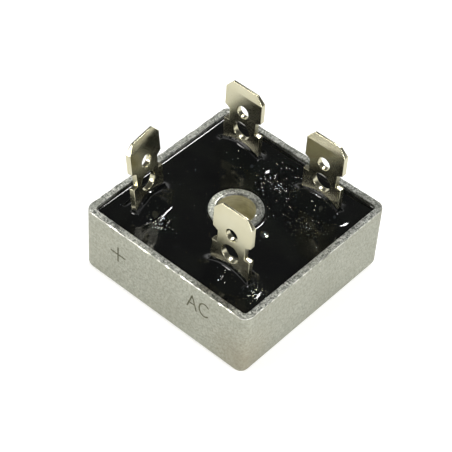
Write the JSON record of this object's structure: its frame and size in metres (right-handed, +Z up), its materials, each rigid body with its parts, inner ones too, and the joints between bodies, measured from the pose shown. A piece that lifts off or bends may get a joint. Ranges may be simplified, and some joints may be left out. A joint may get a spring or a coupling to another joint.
{
  "type": "bridge rectifier",
  "caption": "Square metal-case bridge rectifier with upright push-on blade terminals, black potting and a central screw hole.",
  "frame": {"origin": "centre of the mounting hole on the case's flat underside", "axes": "+Z up through the mounting hole towards the blades; -Y is the marked side of the case, with the positive blade at its -X end and the front AC blade at its +X end"},
  "size_m": [0.0286, 0.0286, 0.022],
  "materials": {
    "case": "satin",
    "terminal_metal": "satin",
    "resin": "glossy",
    "alumina": "matte",
    "adhesive": "matte",
    "silicon": "satin",
    "solder": "satin"
  },
  "bodies": {
    "root": {"case": "case", "insulator_bond": "adhesive", "ceramic_insulator": "alumina", "terminal_positive": "terminal_metal", "terminal_negative": "terminal_metal", "terminal_ac_front": "terminal_metal", "terminal_ac_back": "terminal_metal", "diode_positive_front": "silicon", "diode_positive_back": "silicon", "diode_negative_front": "silicon", "diode_negative_back": "silicon", "solder_positive_front_lower": "solder", "solder_positive_front_upper": "solder", "solder_positive_back_lower": "solder", "solder_positive_back_upper": "solder", "solder_negative_front_lower": "solder", "solder_negative_front_upper": "solder", "solder_negative_back_lower": "solder", "solder_negative_back_upper": "solder", "potting_resin": "resin"}
  },
  "joints": []
}
